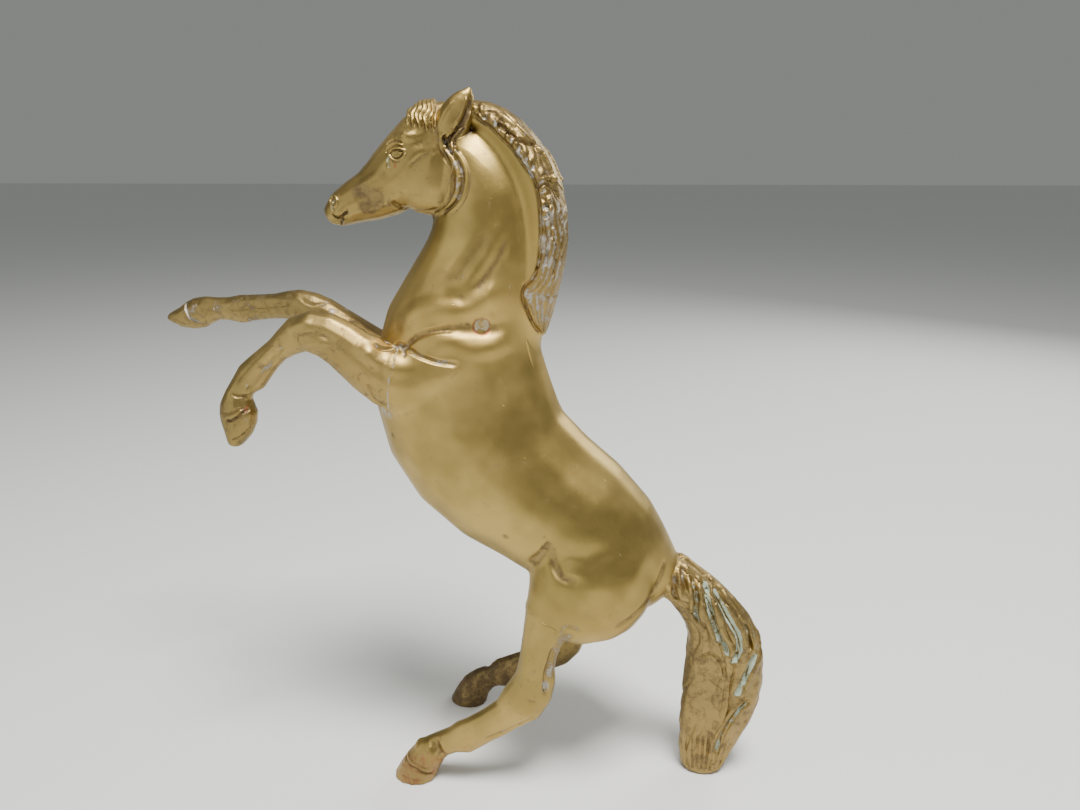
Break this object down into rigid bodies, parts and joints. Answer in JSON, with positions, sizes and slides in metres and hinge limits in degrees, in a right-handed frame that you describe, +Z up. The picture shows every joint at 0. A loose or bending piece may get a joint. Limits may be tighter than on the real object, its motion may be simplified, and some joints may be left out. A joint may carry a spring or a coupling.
{
  "type": "rearing horse statue",
  "caption": "Cast brass rearing horse that stands free on its hind hooves and the flat tip of its tail; hollow trunk in two halves, solid limbs brazed on.",
  "frame": {"origin": "centre of the bounding box, at ground level", "axes": "+Z up from the ground; the horse faces -X with its tail at +X; its left side is towards -Y"},
  "size_m": [0.286, 0.075, 0.307],
  "materials": {
    "satin_brass": "satin golden brass with brown patina in the creases",
    "hair_brass": "rough cast brass hair, brown patina and pale polish residue in the grooves",
    "filler_metal": "paler brazing filler, filed nearly flush",
    "pin_steel": "dull grey steel, ends filed flush"
  },
  "bodies": {
    "root": {"body_left": "satin_brass", "body_right": "satin_brass", "head": "satin_brass", "mane": "hair_brass", "foreleg_left": "satin_brass", "foreleg_right": "satin_brass", "hindleg_left": "satin_brass", "hindleg_right": "satin_brass", "tail": "hair_brass", "shoulder_pin": "pin_steel", "croup_dowel": "satin_brass", "neck_dowel": "satin_brass", "head_filler": "filler_metal", "foreleg_left_filler": "filler_metal", "foreleg_right_filler": "filler_metal", "hindleg_left_filler": "filler_metal", "hindleg_right_filler": "filler_metal", "tail_filler": "filler_metal"}
  },
  "joints": []
}
